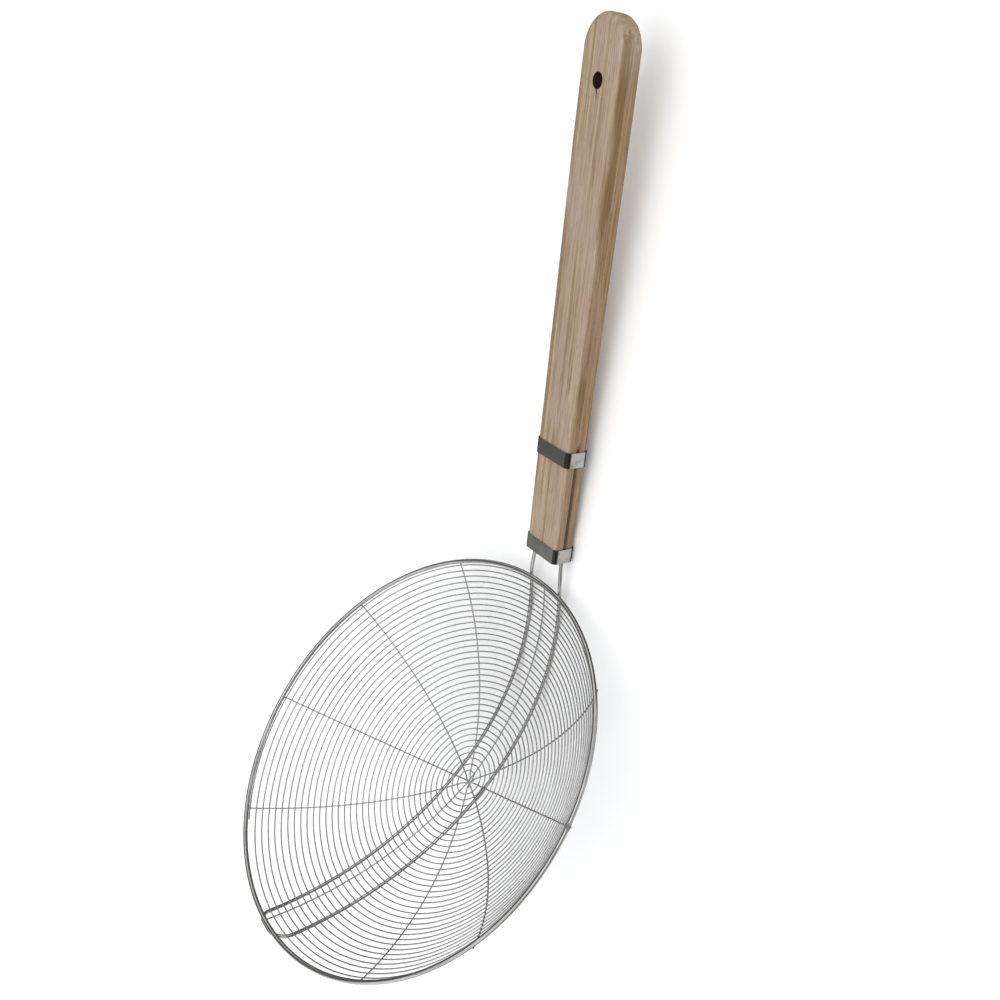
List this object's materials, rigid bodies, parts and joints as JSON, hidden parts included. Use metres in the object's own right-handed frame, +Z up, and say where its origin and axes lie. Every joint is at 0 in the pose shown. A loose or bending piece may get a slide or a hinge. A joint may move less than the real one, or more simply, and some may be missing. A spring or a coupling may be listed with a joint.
{
  "type": "spider skimmer",
  "caption": "Wire-mesh spider skimmer: a wide shallow bowl of spiral wire on crossing ribs, carried by a bent support wire that is clamped to a flat wooden handle with a hanging hole.",
  "frame": {"origin": "on the table, under the middle of the whole length, in the plane that halves the handle and the bowl", "axes": "+X along the table from the bowl towards the handle's tip, +Z up, +Y across; the skimmer lies on its support wire and on the lower band, with the bowl open upwards"},
  "size_m": [0.5709, 0.2922, 0.1852],
  "materials": {
    "wood": "oiled, with fine straight grain",
    "band_steel": "bright sheet, lightly brushed",
    "wire_steel": "bright drawn wire",
    "mesh_steel": "bright fine wire"
  },
  "bodies": {
    "root": {"handle": "wood", "upper_band": "band_steel", "lower_band": "band_steel", "support_wire": "wire_steel", "rim_ring": "wire_steel", "spiral_wire": "mesh_steel", "rib_wire_1": "mesh_steel", "rib_wire_2": "mesh_steel", "rib_wire_3": "mesh_steel", "rib_wire_4": "mesh_steel", "rib_wire_5": "mesh_steel"}
  },
  "joints": []
}
